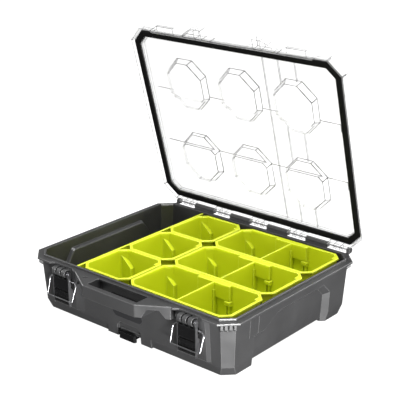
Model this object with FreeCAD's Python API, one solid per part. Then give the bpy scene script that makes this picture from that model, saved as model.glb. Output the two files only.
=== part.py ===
import FreeCAD, Part
import math
import os

# Small parts organizer, in millimetres. X runs along the front from left to right, Y from the
# handle to the hinge, Z up. Everything is drawn about the middle of the lip with the feet at Z 0.
# The lid is drawn closed and opened by LID_OPEN, and at the end the middle of the object's box
# is moved onto the origin.

V = FreeCAD.Vector

# Case: lip, flange and walls
LIP_WIDTH = 494.0
LIP_DEPTH = 389.5
LIP_CORNER = 21.6
LIP_WALL = 3.4
LIP_STEP = 3.8
CASE_HEIGHT = 117.0
FLANGE_OUT = 12.75
FLANGE_THICK = 4.0
WALL = 3.0
WALL_STEP = 1.8
WALL_DRAFT_X = 5.9
WALL_DRAFT_Y = 7.1
WALL_CORNER = 19.5
WALL_CORNER_LOW = 16.3
BEVEL_HEIGHT = 19.0
BEVEL_X = 3.9
BEVEL_Y = 6.6
FOOT_CORNER = 19.6
FOOT_HEIGHT = 10.5
SKIRT_LOW = 6.5
FLOOR = 3.5
EDGE_ROUND = 1.0

# Case: recess in each side, given along Y and by its heights
RECESS_DEPTH = 10.0
RECESS_FLANK = 11.0
RECESS_FRONT = -121.0
RECESS_SHOULDER = -88.5
RECESS_RISE = -47.0
RECESS_TOP_END = 97.0
RECESS_REAR = 122.0
RECESS_SHOULDER_HEIGHT = 62.5
RECESS_HEIGHT = 87.5
RECESS_REAR_HEIGHT = 63.5
RECESS_CREASE_HEIGHT = 22.0
RECESS_CREASE = 1.9
BULGE_BEYOND = 4.0
BULGE_SHOULDER = 72.5
BULGE_HEIGHT = 100.0
BULGE_SLANT = 20.0
BULGE_LEAN = 4.0
BULGE_CORNER_ROUND = 12.0
BULGE_ROUND = 4.0
RIDGE_PLACES = (-134.0, -108.5)
RIDGE_LOW = 62.0
RIDGE_HIGH = 98.5
RIDGE_WIDE = 1.6
RIDGE_PROUD = 0.6

# Case: slotted corner blocks under the flange
CORNER_BLOCK_WIDE = 28.0
CORNER_BLOCK_PROUD = 6.5
CORNER_BLOCK_DROP = 15.0
CORNER_BLOCK_TAPER = 5.5
CORNER_SLOT = 3.3
CORNER_SLOT_PITCH = 8.4
CORNER_SLOT_DEEP = 1.8

# Case: front wall
LATCH_PAD = (118.0, 138.0, 196.5, 203.5)
LATCH_PAD_PROUD = 3.7
LATCH_PAD_LOW = 20.0
PLATE_HALF = 38.0
PLATE_LOW = 43.0
PLATE_HIGH = 92.0
PLATE_CORNER = 7.0
PLATE_THICK = 1.6
PLATE_SINK = 1.0
PLATE_GAP = 0.2
BLOCK_HALF = 57.0
BLOCK_FOOT_IN = 1.8
ALCOVE_HALF = 30.0
ALCOVE_TOP = 32.0
ALCOVE_CORNER = 8.0
ALCOVE_DEPTH = 5.4
ALCOVE_WALL = 2.5

# Case: handle
HANDLE_FRONT = -243.0
HANDLE_BAR_DEEP = 10.0
HANDLE_HALF = 66.0
HANDLE_ROOT_HALF = 123.0
HANDLE_ROOT = -207.8
HANDLE_HEIGHT = 25.2
HANDLE_ROUND = 1.5
HANDLE_CORNER_ROUND = 5.0
FINGER_HALF = 64.0
FINGER_BACK = -202.0
ARCH_IN = 76.0
ARCH_OUT = 117.0
ARCH_TOP_IN = 86.0
ARCH_TOP_OUT = 105.0
ARCH_ROOF = 8.2
SLOT_PLACE = (-89.0, -213.5)
SLOT_LONG = 11.0
SLOT_WIDE = 3.5

# Latches, whose turning pieces run on their pins with PIN_RUN all round
PIN_RUN = 0.06
LATCH_X = 162.5
LATCH_PIN_Y = -209.0
LATCH_PIN_Z = CASE_HEIGHT - 15.0
LATCH_PIN_R = 1.75
LATCH_PIN_HALF = 23.6
LATCH_KNUCKLE_R = 8.0
LATCH_KNUCKLE_WIDE = 8.6
LATCH_KNUCKLE_PITCH = 13.0
NOTCH_HALF = 36.0
NOTCH_INNER_HALF = 25.0
NOTCH_Y = -201.0
LEVER_HALF = 20.5
LEVER_FRONT = -209.6
LEVER_THICK = 4.4
LEVER_TOP = LATCH_PIN_Z - 13.0
LEVER_LOW = LATCH_PIN_Z - 67.5
LEVER_EAR_WIDE = 3.6
LEVER_EAR_R = 6.5
LEVER_STEP_HEIGHT = LATCH_PIN_Z - 41.0
LEVER_STEP_WIDE = 3.6
LEVER_STEP_DEEP = 2.2
LEVER_GRIP_LOW = LATCH_PIN_Z - 63.0
LEVER_GRIP_PITCH = 3.1
LEVER_GRIP_COUNT = 6
LEVER_GRIP_DEEP = 1.0
LEVER_CHEEK_LOW = LATCH_PIN_Z - 25.0
LEVER_CHEEK_HIGH = LATCH_PIN_Z - 11.0
LEVER_CHEEK_BACK = -199.2
LEVER_CHEEK_WIDE = 6.0
BRACKET_THICK = 1.4
BRACKET_PLATE = 1.2
BRACKET_STRAP_BACK = -204.6
BRACKET_WIDE_BACK = -199.5
BRACKET_WIDE_HIGH = LATCH_PIN_Z - 30.0
BRACKET_WIDE_LOW = LATCH_PIN_Z - 56.0
BRACKET_TIP = LATCH_PIN_Z - 70.5
BRACKET_EAR_R = 5.0
BAIL_WIRE_R = 1.25
BAIL_PIVOT_Y = -202.5
BAIL_PIVOT_Z = LATCH_PIN_Z - 18.0
BAIL_LENGTH = 38.9
BAIL_TILT = 18.7
BAIL_HALF = 35.0
BAIL_BELLY_HALF = 36.2
BAIL_BELLY = 6.0
BAIL_SHOULDER_HALF = 31.0
BAIL_BEND = 3.2

# Stack latch in the alcove, its spring, cover and screws
BUTTON_HALF = 21.0
BUTTON_FRONT = -196.0
BUTTON_LOW = 1.5
BUTTON_HIGH = 15.3
BUTTON_HEAD_DEEP = 6.0
BUTTON_GAP = 1.5
BUTTON_TRAVEL = 5.0
BUTTON_CHAMFER = 2.5
BEAD = 2.0
BEAD_PROUD = 1.2
TONGUE_HALF = 13.0
TONGUE_BACK = -150.0
TONGUE_SHOULDER_HALF = 17.5
TONGUE_SHOULDER_DEEP = 6.0
TONGUE_GAP = 0.4
RETAINER_DEEP = 9.6
RETAINER_OUT = 27.0
COVER_THICK = 1.6
COVER_LOW = 0.4
COVER_BACK = -118.0
SCREW_X = 21.5
SCREW_SHANK_R = 1.4
SCREW_HOLE_R = 1.5
SCREW_HEAD_R = 2.8
SCREW_LONG = 8.0
SPRING_R = 2.8
SPRING_WIRE = 0.8
SPRING_STOP_Y = -124.0
SPRING_STOP_DEEP = 3.0

# Hinge
HINGE_Y = 216.2
HINGE_Z = CASE_HEIGHT
HINGE_R = 5.5
HINGE_PIN_R = 1.6
HINGE_PITCH = 100.0
HINGE_COUNT = 5
HINGE_LID_KNUCKLE = 14.0
HINGE_LID_SLOT = 2.0
HINGE_END_GAP = 0.5
HINGE_END_BARREL = 7.0
HINGE_PIN_GRIP = 6.0
LID_OPEN = 74.25

# Lid, with heights above the lip
LID_OUT = 15.5
LID_CORNER = 30.0
LID_SKIRT_LOW = -3.3
LID_TOP = 16.0
LID_WALL = 2.6
LID_FRONT_STEP = 4.0
LID_FRONT_STEP_HALF = 196.0
LID_ROUND = 2.4
GASKET_OUT_X = 9.0
GASKET_OUT_Y = 7.6
GASKET_WIDE = 12.6
GASKET_LOW = 0.3
GASKET_HIGH = 7.0
GASKET_GAP = 0.3
GASKET_CHAMFER = 0.9
CHANNEL_WALL = 1.8
CHANNEL_LOW = 3.0
CHANNEL_ROOF = 2.0
POCKET_X = (-137.0, 0.0, 137.0)
POCKET_Y = 88.0
POCKET_HALF_X = 51.0
POCKET_HALF_Y = 58.0
POCKET_CORNER = 31.0
POCKET_DRAFT = 5.5
POCKET_FLOOR = 0.8
POCKET_WALL = 2.4
POCKET_SHELF = 26.0
POCKET_SHELF_RISE = 6.5
LID_RIBS = (70.0, 107.0, 146.0)
LID_RIB_WIDE = 1.6
LID_RIB_DEEP = 3.0
LID_RIB_HALF = 188.0
LID_CHANNELS = ((-66.0, -50.0), (63.0, 81.0))
LID_CHANNEL_DEEP = 1.0
LID_CHANNEL_HALF = 232.0
CATCH_HALF = 23.0
CATCH_FRONT = -219.5
CATCH_SHELF_TOP = 2.3
CATCH_THICK = 3.0
CATCH_LIP = 2.0
CATCH_HIGH = 6.5
EAR_TOWER_IN = 63.0
EAR_TOWER_OUT = 83.0
EAR_FRONT = -226.5
EAR_SHOULDER_X = 100.0
EAR_SHOULDER_Y = -221.0
EAR_END = 120.0
EAR_INNER_END = 43.0
EAR_WALL = 2.2

# Tray and bins
TRAY_LEFT = -137.6
TRAY_RIGHT = 229.5
TRAY_HALF_Y = 183.2
TRAY_WALL = 2.2
TRAY_FLOOR = 2.4
TRAY_GAP = 0.3
TRAY_CORNER = 14.0
TRAY_CURB = 1.6
TRAY_CURB_HIGH = 12.0
TRAY_WALL_GAP = 1.8
TRAY_TOP_DROP = 1.5
TRAY_BEAD = 0.9
TRAY_BEAD_HIGH = 2.6
TRAY_NOTCH_GAP = 1.2
BIN_DROP = 1.0
BIN_DEPTH = 122.6
BIN_PITCH = 124.35
SMALL_BIN_X = (-133.4, -14.6)
DOUBLE_BIN_X = (-11.0, 232.6)
BIN_WALL = 1.8
BIN_FLOOR = 2.0
BIN_TAPER = 2.0
BIN_CORNER = 17.0
BIN_CORNER_LOW = 10.0
BIN_RIM_OUT = 3.5
BIN_RIM_HIGH = 3.5
BIN_RIM_ROUND = 0.7
BIN_INNER_ROUND = 5.0
BIN_TAB = 9.5
RAMP_PROUD = 9.5
RAMP_SLOPE = 42.0
SMALL_RAMP = (8.5, 34.5, 11.0)
DOUBLE_RAMP = (7.0, 27.0, 20.0)
LABEL_HALF = 38.5
LABEL_PROUD = 6.5
LABEL_HIGH = 30.0
POST_WIDE = 10.0
POST_SLOT = 3.2
POST_GAP_HIGH = 4.0
NUB_OUT = 3.5
NUB_LOW = 5.5
NUB_HIGH = 1.5
NUB_PROUD = 4.0
DIVIDER_X = 113.75
DIVIDER = 3.0
DIVIDER_GAP = 0.4
DIVIDER_DROP = 1.0
GUIDE_WIDE = 1.8
GUIDE_PROUD = 5.0
GUIDE_DROP = 15.0

# Places worked out from the sizes above
LIP_X = LIP_WIDTH / 2
LIP_Y = LIP_DEPTH / 2
GROW = 2 - math.sqrt(2)
FLANGE_TOP = CASE_HEIGHT - LIP_STEP
FLANGE_LOW = FLANGE_TOP - FLANGE_THICK
FLOOR_TOP = FOOT_HEIGHT + FLOOR
HANDLE_LOW = FLANGE_TOP - HANDLE_HEIGHT
LID_X = LIP_X + LID_OUT
LID_Y = LIP_Y + LID_OUT - 0.75
LID_REAR_IN = LID_Y - LID_WALL
FAR = 400.0


def points_at(outline, z):
    """Turn plan points into points at one height."""
    return [V(x, y, z) for x, y in outline]


def wire(points):
    """Close a list of points into a polygon."""
    return Part.makePolygon(points + [points[0]])


def octagon(half_x, half_y, corner, y=0.0, x=0.0):
    """Plan points of a rectangle with its four corners cut at 45 degrees."""
    a, b, c = half_x, half_y, corner
    outline = [(c - a, -b), (a - c, -b), (a, c - b), (a, b - c),
               (a - c, b), (c - a, b), (-a, b - c), (-a, c - b)]
    return [(px + x, py + y) for px, py in outline]


def prism(outline, low, high):
    """Extrude plan points from one height to another."""
    return Part.Face(wire(points_at(outline, low))).extrude(V(0, 0, high - low))


def loft(sections):
    """Join plan outlines at their heights with flat faces."""
    wires = [wire(points_at(outline, z)) for outline, z in sections]
    return Part.makeLoft(wires, True, True)


def box(x0, x1, y0, y1, z0, z1):
    """A block between two corners."""
    return Part.makeBox(x1 - x0, y1 - y0, z1 - z0, V(x0, y0, z0))


def side_prism(profile, x0, x1):
    """Extrude a profile of (y, z) points along X."""
    points = [V(x0, y, z) for y, z in profile]
    return Part.Face(wire(points)).extrude(V(x1 - x0, 0, 0))


def front_prism(profile, y0, y1):
    """Extrude a profile of (x, z) points along Y."""
    points = [V(x, y0, z) for x, z in profile]
    return Part.Face(wire(points)).extrude(V(0, y1 - y0, 0))


def rod(radius, x0, x1, y, z):
    """A cylinder along X."""
    return Part.makeCylinder(radius, x1 - x0, V(x0, y, z), V(1, 0, 0))


def mirrored(shape):
    """The same shape on the other side of the middle."""
    return shape.mirror(V(0, 0, 0), V(1, 0, 0))


def both_sides(shape):
    """A shape and its mirror image, as a list."""
    return [shape, mirrored(shape)]


def fused(shapes):
    """One solid from several that touch or overlap."""
    return shapes[0].fuse(shapes[1:]).removeSplitter()


def level_edges(shape, z):
    """The edges of a shape that lie flat at one height."""
    return [e for e in shape.Edges if all(abs(v.Z - z) < 1e-4 for v in e.Vertexes)]


def upright_edges(shape, near=None):
    """The straight vertical edges of a shape, or those within 1 mm of the places given."""
    found = []
    for edge in shape.Edges:
        ends = edge.Vertexes
        if len(ends) != 2:
            continue
        a, b = ends[0].Point, ends[1].Point
        if math.hypot(a.x - b.x, a.y - b.y) > 1e-4:
            continue
        if near is None or any(math.hypot(a.x - x, a.y - y) < 1 for x, y in near):
            found.append(edge)
    return found


def wall_x(z):
    """Outside of the side walls at a height."""
    drop = (FLANGE_LOW - z) / (FLANGE_LOW - BEVEL_HEIGHT)
    return LIP_X + WALL_STEP - WALL_DRAFT_X * drop


def wall_y(z):
    """Outside of the front and rear walls at a height."""
    drop = (FLANGE_LOW - z) / (FLANGE_LOW - BEVEL_HEIGHT)
    return LIP_Y + WALL_STEP - WALL_DRAFT_Y * drop


def cavity_y(z):
    """Inside of the front and rear walls at a height."""
    low = bevel_y(FLOOR_TOP) - WALL
    share = (z - FLOOR_TOP) / (CASE_HEIGHT - FLOOR_TOP)
    return low + (LIP_Y - LIP_WALL - low) * share


def bevel_x(z):
    """Outside of the bevel under the side walls."""
    return wall_x(BEVEL_HEIGHT) - BEVEL_X * (BEVEL_HEIGHT - z) / BEVEL_HEIGHT


def bevel_y(z):
    """Outside of the bevel under the front and rear walls."""
    return wall_y(BEVEL_HEIGHT) - BEVEL_Y * (BEVEL_HEIGHT - z) / BEVEL_HEIGHT


def inset(points, distance):
    """Move every side of an outline inwards. The points run anticlockwise."""
    count = len(points)
    lines = []
    for i in range(count):
        (ax, ay), (bx, by) = points[i], points[(i + 1) % count]
        size = math.hypot(bx - ax, by - ay)
        nx, ny = -(by - ay) / size, (bx - ax) / size
        lines.append((nx, ny, nx * ax + ny * ay + distance))
    moved = []
    for i in range(count):
        (a, b, c), (d, e, f) = lines[i - 1], lines[i]
        det = a * e - b * d
        moved.append(((c * e - b * f) / det, (a * f - c * d) / det))
    return moved


def side_loft(sections):
    """Join (y, z) outlines that lie at given depths behind the right-hand wall."""
    wires = []
    for depth, outline in sections:
        wires.append(wire([V(wall_x(z) - depth, y, z) for y, z in outline]))
    return Part.makeLoft(wires, True, True)


def recess_solid(skin=0.0):
    """The space of the right-hand side recess, with slanted flanks, and a skin of the case round it."""
    low = -30.0
    outline = [(RECESS_FRONT, low), (RECESS_REAR, low), (RECESS_REAR, RECESS_REAR_HEIGHT),
               (RECESS_TOP_END, RECESS_HEIGHT), (RECESS_RISE, RECESS_HEIGHT),
               (RECESS_SHOULDER, RECESS_SHOULDER_HEIGHT), (RECESS_FRONT, RECESS_SHOULDER_HEIGHT)]
    slant = RECESS_FLANK / RECESS_DEPTH
    grow = skin * math.hypot(1, slant)
    deep = RECESS_DEPTH + skin
    return side_loft([(-2.0, inset(outline, -2.0 * slant - grow)), (deep, inset(outline, deep * slant - grow))])


def inner_bulge():
    """The block that the recess makes on the inside of the right-hand wall, with rounded edges."""
    low = -30.0
    front, rear = RECESS_FRONT - BULGE_BEYOND, RECESS_REAR + BULGE_BEYOND
    outline = [(front, low), (rear, low), (rear, BULGE_SHOULDER), (rear - BULGE_SLANT, BULGE_HEIGHT),
               (front + BULGE_SLANT, BULGE_HEIGHT), (front, BULGE_SHOULDER)]
    deep = RECESS_DEPTH + WALL
    block = side_loft([(0.0, outline), (deep, inset(outline, BULGE_LEAN))])
    corners = [e for e in block.Edges if e.BoundBox.ZMin > FLOOR_TOP and e.BoundBox.XLength > RECESS_DEPTH]
    block = block.makeFillet(BULGE_CORNER_ROUND, corners)
    inner = [e for e in block.Edges if e.BoundBox.ZMax > 0
             and all(abs(wall_x(v.Z) - v.X - deep) < 0.01 for v in e.Vertexes)]
    return block.makeFillet(BULGE_ROUND, inner)


def recess_crease():
    """The lean of the recess below its crease."""
    x = wall_x(RECESS_CREASE_HEIGHT) - RECESS_DEPTH
    profile = [(x, RECESS_CREASE_HEIGHT), (x - RECESS_CREASE, SKIRT_LOW - 0.5),
               (x + 20, SKIRT_LOW - 0.5), (x + 20, RECESS_CREASE_HEIGHT)]
    y0 = RECESS_FRONT + RECESS_FLANK
    y1 = RECESS_REAR - RECESS_FLANK
    return front_prism(profile, y0, y1)


def case_outside():
    """Foot bevel, drafted walls, flange and lip as one block."""
    foot = octagon(bevel_x(0), bevel_y(0), FOOT_CORNER)
    waist = octagon(wall_x(BEVEL_HEIGHT), wall_y(BEVEL_HEIGHT), WALL_CORNER_LOW)
    top = octagon(wall_x(FLANGE_LOW), wall_y(FLANGE_LOW), WALL_CORNER)
    flange = prism(octagon(LIP_X + FLANGE_OUT, LIP_Y + FLANGE_OUT, LIP_CORNER + FLANGE_OUT * GROW),
                   FLANGE_LOW, FLANGE_TOP)
    edges = level_edges(flange, FLANGE_LOW) + level_edges(flange, FLANGE_TOP)
    flange = flange.makeFillet(EDGE_ROUND, edges)
    lip = prism(octagon(LIP_X, LIP_Y, LIP_CORNER), FLANGE_LOW, CASE_HEIGHT)
    lip = lip.makeFillet(EDGE_ROUND, level_edges(lip, CASE_HEIGHT))
    return fused([loft([(foot, 0), (waist, BEVEL_HEIGHT)]),
                  loft([(waist, BEVEL_HEIGHT), (top, FLANGE_LOW)]), flange, lip])


def case_cavity():
    """The inside of the case, drawn in where the side recesses and the alcove bulge into it."""
    low = octagon(bevel_x(FLOOR_TOP) - WALL, cavity_y(FLOOR_TOP), WALL_CORNER_LOW)
    high = octagon(LIP_X - LIP_WALL, LIP_Y - LIP_WALL, LIP_CORNER - LIP_WALL * GROW)
    cavity = loft([(low, FLOOR_TOP), (high, CASE_HEIGHT)]).fuse(prism(high, CASE_HEIGHT, CASE_HEIGHT + 1))
    alcove = box(-ALCOVE_HALF - ALCOVE_WALL, ALCOVE_HALF + ALCOVE_WALL, -FAR,
                 alcove_inside_y(), 0, ALCOVE_TOP + ALCOVE_WALL)
    return cavity.cut(both_sides(inner_bulge()) + [alcove])


def alcove_back_y():
    """The back wall of the alcove."""
    return -wall_y(BEVEL_HEIGHT) + ALCOVE_DEPTH


def alcove_inside_y():
    """The same wall seen from inside the case."""
    return alcove_back_y() + ALCOVE_WALL


def underside():
    """The hollow between the feet, open to both sides under the skirts of the recesses."""
    skirt = [(octagon(bevel_x(0) - WALL, bevel_y(0) - WALL, FOOT_CORNER), -1),
             (octagon(bevel_x(FOOT_HEIGHT) - WALL, bevel_y(FOOT_HEIGHT) - WALL, WALL_CORNER_LOW),
              FOOT_HEIGHT)]
    hollow = loft(skirt)
    front = RECESS_FRONT + RECESS_FLANK
    rear = RECESS_REAR - RECESS_FLANK
    walls = [box(-FAR, FAR, front - WALL, front, -1, FOOT_HEIGHT),
             box(-FAR, FAR, rear, rear + WALL, -1, FOOT_HEIGHT)]
    skirt_in = wall_x(0) - RECESS_DEPTH - RECESS_CREASE - WALL
    middle = [box(-FAR, FAR, front, rear, -2, SKIRT_LOW),
              box(-skirt_in, skirt_in, front, rear, -2, FOOT_HEIGHT)]
    return fused([hollow.cut(walls + both_sides(recess_solid(WALL)))] + middle)


def flange_notch(x):
    """The piece cut out of the flange over one latch."""
    front = -LIP_Y - FLANGE_OUT - 1
    outline = [(x - NOTCH_HALF, front), (x + NOTCH_HALF, front), (x + NOTCH_INNER_HALF, NOTCH_Y),
               (x - NOTCH_INNER_HALF, NOTCH_Y)]
    return prism(outline, FLANGE_LOW - 1, FLANGE_TOP + 0.5)


def corner_block():
    """The slotted block on the chamfer under the flange, at the rear right corner."""
    wall_mid = (wall_x(FLANGE_LOW) + wall_y(FLANGE_LOW) - WALL_CORNER) / math.sqrt(2)
    half = CORNER_BLOCK_WIDE / 2
    low = FLANGE_LOW - CORNER_BLOCK_DROP
    profile = [(wall_mid - 3, FLANGE_LOW + 1), (wall_mid + CORNER_BLOCK_PROUD, FLANGE_LOW + 1),
               (wall_mid + CORNER_BLOCK_PROUD, low + CORNER_BLOCK_TAPER), (wall_mid - 1, low),
               (wall_mid - 3, low)]
    block = front_prism(profile, -half, half)
    slots = [box(wall_mid - CORNER_SLOT_DEEP, wall_mid + CORNER_BLOCK_PROUD + 1,
                 i * CORNER_SLOT_PITCH - CORNER_SLOT / 2, i * CORNER_SLOT_PITCH + CORNER_SLOT / 2,
                 low - 1, FLANGE_LOW) for i in (-1, 0, 1)]
    block = block.cut(slots)
    # The block is drawn along X, then turned to face the corner, whose middle line is off centre.
    block.rotate(V(0, 0, 0), V(0, 0, 1), 45)
    shift = (LIP_X - LIP_Y) / 2
    block.translate(V(shift, -shift, 0))
    return block


def corner_blocks():
    """The ribs under all four corners of the flange."""
    rear = both_sides(corner_block())
    return rear + [b.mirror(V(0, 0, 0), V(0, 1, 0)) for b in rear]


def latch_pad():
    """The raised part of the front wall behind the right-hand latch, with slanted sides."""
    low, high, proud = LATCH_PAD_LOW, FLANGE_LOW, LATCH_PAD_PROUD
    x0, x1, x2, x3 = LATCH_PAD
    sections = []
    for z, out in ((low, 0.0), (low + proud, proud), (high, proud)):
        y = -wall_y(z)
        sections.append(([(x0, y + WALL), (x0, y), (x1, y - out), (x2, y - out), (x3, y), (x3, y + WALL)], z))
    return fused([loft(sections[:2]), loft(sections[1:])])


def wall_ridge(y):
    """A thin upright line on the side wall."""
    profile = [(wall_x(RIDGE_LOW) - 1, RIDGE_LOW), (wall_x(RIDGE_LOW) + RIDGE_PROUD, RIDGE_LOW),
               (wall_x(RIDGE_HIGH) + RIDGE_PROUD, RIDGE_HIGH), (wall_x(RIDGE_HIGH) - 1, RIDGE_HIGH)]
    return front_prism(profile, y - RIDGE_WIDE / 2, y + RIDGE_WIDE / 2)


def handle():
    """The carry handle: a bar on two arched arms, with the finger gap behind the bar."""
    root = -wall_y(HANDLE_LOW) + 1
    corners = [(-HANDLE_HALF, HANDLE_FRONT), (HANDLE_HALF, HANDLE_FRONT)]
    outline = [(-HANDLE_ROOT_HALF, root), (-HANDLE_ROOT_HALF, HANDLE_ROOT)] + corners
    outline += [(HANDLE_ROOT_HALF, HANDLE_ROOT), (HANDLE_ROOT_HALF, root)]
    body = prism(outline, HANDLE_LOW, FLANGE_TOP)
    body = body.makeFillet(HANDLE_CORNER_ROUND, upright_edges(body, corners))
    front_edges = [e for e in level_edges(body, FLANGE_TOP) + level_edges(body, HANDLE_LOW)
                   if e.BoundBox.YMax < HANDLE_ROOT + 0.1]
    body = body.makeFillet(HANDLE_ROUND, front_edges)
    bar_back = HANDLE_FRONT + HANDLE_BAR_DEEP
    gap = box(-FINGER_HALF, FINGER_HALF, bar_back, FINGER_BACK, 0, CASE_HEIGHT)
    gap = gap.makeFillet(HANDLE_CORNER_ROUND - 2, upright_edges(gap))
    behind = box(-FINGER_HALF, FINGER_HALF, FINGER_BACK - 4, root + 2, 0, FLANGE_LOW)
    arch = front_prism([(ARCH_IN, HANDLE_LOW - 1), (ARCH_OUT, HANDLE_LOW - 1),
                        (ARCH_TOP_OUT, FLANGE_TOP - ARCH_ROOF), (ARCH_TOP_IN, FLANGE_TOP - ARCH_ROOF)],
                       HANDLE_FRONT - 5, -wall_y(HANDLE_LOW) - 1)
    return body.cut([gap, behind] + both_sides(arch))


def finger_notch():
    """The flange cut back behind the handle's bar."""
    return box(-FINGER_HALF, FINGER_HALF, HANDLE_FRONT + HANDLE_BAR_DEEP, FINGER_BACK,
               FLANGE_LOW - 1, FLANGE_TOP + 0.5)


def tether_slot():
    """The slanted slot through the left arm."""
    straight = (SLOT_LONG - SLOT_WIDE) / 2
    z0, high = HANDLE_LOW - 1, HANDLE_HEIGHT + 2
    slot = box(-straight, straight, -SLOT_WIDE / 2, SLOT_WIDE / 2, z0, z0 + high)
    ends = [Part.makeCylinder(SLOT_WIDE / 2, high, V(x, 0, z0)) for x in (-straight, straight)]
    slot = fused([slot] + ends)
    slot.rotate(V(0, 0, 0), V(0, 0, 1), 41)
    slot.translate(V(SLOT_PLACE[0], SLOT_PLACE[1], 0))
    return slot


def plate_outline(gap):
    """The name plate's outline on the front wall, with its lower corners cut."""
    a, c = PLATE_HALF + gap, PLATE_CORNER
    low, high = PLATE_LOW - gap, PLATE_HIGH + gap
    return [(-a + c, low), (a - c, low), (a, low + c), (a, high), (-a, high), (-a, low + c)]


def plate_solid(gap, back, front):
    """A slab that follows the draft of the front wall, from a depth in it to a height on it."""
    points = [V(x, -wall_y(z) + back, z) for x, z in plate_outline(gap)]
    ahead = [V(x, -wall_y(z) - front, z) for x, z in plate_outline(gap)]
    return Part.makeLoft([wire(points), wire(ahead)], True, True)


def front_block():
    """The part of the front wall that runs straight down round the alcove."""
    foot_y = -wall_y(BEVEL_HEIGHT) + BLOCK_FOOT_IN
    back = -bevel_y(0) + WALL
    profile = [(back, 0), (foot_y, 0), (-wall_y(BEVEL_HEIGHT), BEVEL_HEIGHT), (back, BEVEL_HEIGHT)]
    block = side_prism(profile, -BLOCK_HALF, BLOCK_HALF)
    cheek = box(ALCOVE_HALF, ALCOVE_HALF + ALCOVE_WALL, back - 2, -160, 0, FOOT_HEIGHT + 1)
    return [block] + both_sides(cheek)


def alcove_cut():
    """The alcove of the stack latch, and the way under the floor for its tongue."""
    a, c, top = ALCOVE_HALF, ALCOVE_CORNER, ALCOVE_TOP
    profile = [(-a, -1), (a, -1), (a, top - c), (a - c, top), (c - a, top), (-a, top - c)]
    alcove = front_prism(profile, -wall_y(FLANGE_LOW), alcove_back_y())
    under = box(-a, a, -wall_y(FLANGE_LOW), -bevel_y(0) + 2 * WALL, -1, FOOT_HEIGHT)
    return [alcove, under]


def alcove_bead():
    """The raised bead round the button."""
    inner = BUTTON_HALF + BUTTON_GAP
    top = BUTTON_HIGH + BUTTON_GAP
    ring = box(-inner - BEAD, inner + BEAD, 0, BEAD_PROUD + 1, FOOT_HEIGHT, top + BEAD)
    ring = ring.cut(box(-inner, inner, -1, BEAD_PROUD + 2, 0, top))
    ring.translate(V(0, alcove_back_y() - BEAD_PROUD, 0))
    return ring


def retainer():
    """The right-hand rib under the floor that stops the tongue and takes a cover screw."""
    rib = box(TONGUE_HALF + TONGUE_GAP, RETAINER_OUT, retainer_back() - RETAINER_DEEP, retainer_back(),
              COVER_LOW + COVER_THICK, FOOT_HEIGHT + 1)
    hole = Part.makeCylinder(SCREW_HOLE_R, FOOT_HEIGHT - 1, V(SCREW_X, screw_y(), 0))
    return rib.cut(hole)


def retainer_back():
    """Rear face of the ribs that the tongue's shoulders rest on."""
    return TONGUE_BACK - TONGUE_SHOULDER_DEEP - TONGUE_GAP


def screw_y():
    """Place of the cover screws along Y."""
    return retainer_back() - RETAINER_DEEP / 2


def latch_knuckle_places(x):
    """Middles of the three case knuckles of one latch."""
    return [x + i * LATCH_KNUCKLE_PITCH for i in (-1, 0, 1)]


def latch_knuckle(x):
    """One case knuckle of a latch, on a web from the wall."""
    half = LATCH_KNUCKLE_WIDE / 2
    low = LATCH_PIN_Z - LATCH_KNUCKLE_R
    web = box(x - half, x + half, LATCH_PIN_Y, -wall_y(low) + 1, low, FLANGE_LOW)
    ring = rod(LATCH_KNUCKLE_R, x - half, x + half, LATCH_PIN_Y, LATCH_PIN_Z)
    hole = rod(LATCH_PIN_R, x - half - 1, x + half + 1, LATCH_PIN_Y, LATCH_PIN_Z)
    return web.fuse(ring).cut(hole)


def hinge_places():
    """Middles of the hinge's knuckle groups."""
    middle = (HINGE_COUNT - 1) / 2
    return [(i - middle) * HINGE_PITCH for i in range(HINGE_COUNT)]


def lid_knuckle_offsets():
    """Middles of the three lid knuckles in a group."""
    step = HINGE_LID_KNUCKLE + HINGE_LID_SLOT
    return (-step, 0.0, step)


def hinge_group_half():
    """Half the space that a group of lid knuckles has between the barrels of the case."""
    return lid_knuckle_offsets()[2] + HINGE_LID_KNUCKLE / 2 + HINGE_END_GAP


def hinge_barrel(x0, x1, web):
    """A solid hinge barrel from x0 to x1 with a web of (y, z) points."""
    return side_prism(web, x0, x1).fuse(rod(HINGE_R, x0, x1, HINGE_Y, HINGE_Z))


def case_hinge_barrels():
    """The hinge barrels of the case, between and beside the groups of lid knuckles."""
    near = HINGE_R * 0.95
    edge = LIP_Y + FLANGE_OUT - 2
    web = [(edge, FLANGE_LOW), (HINGE_Y - 1, HINGE_Z - near), (HINGE_Y, HINGE_Z),
           (HINGE_Y - near, HINGE_Z - 1.5), (HINGE_Y - near - 1, FLANGE_TOP), (edge, FLANGE_TOP)]
    half = hinge_group_half()
    places = hinge_places()
    first, last = places[0] - half, places[-1] + half
    runs = [(a + half, b - half) for a, b in zip(places, places[1:])]
    runs += [(first - HINGE_END_BARREL, first), (last, last + HINGE_END_BARREL)]
    pins = hinge_pins()
    return [hinge_barrel(x0, x1, web).cut(pins) for x0, x1 in runs]


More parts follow.
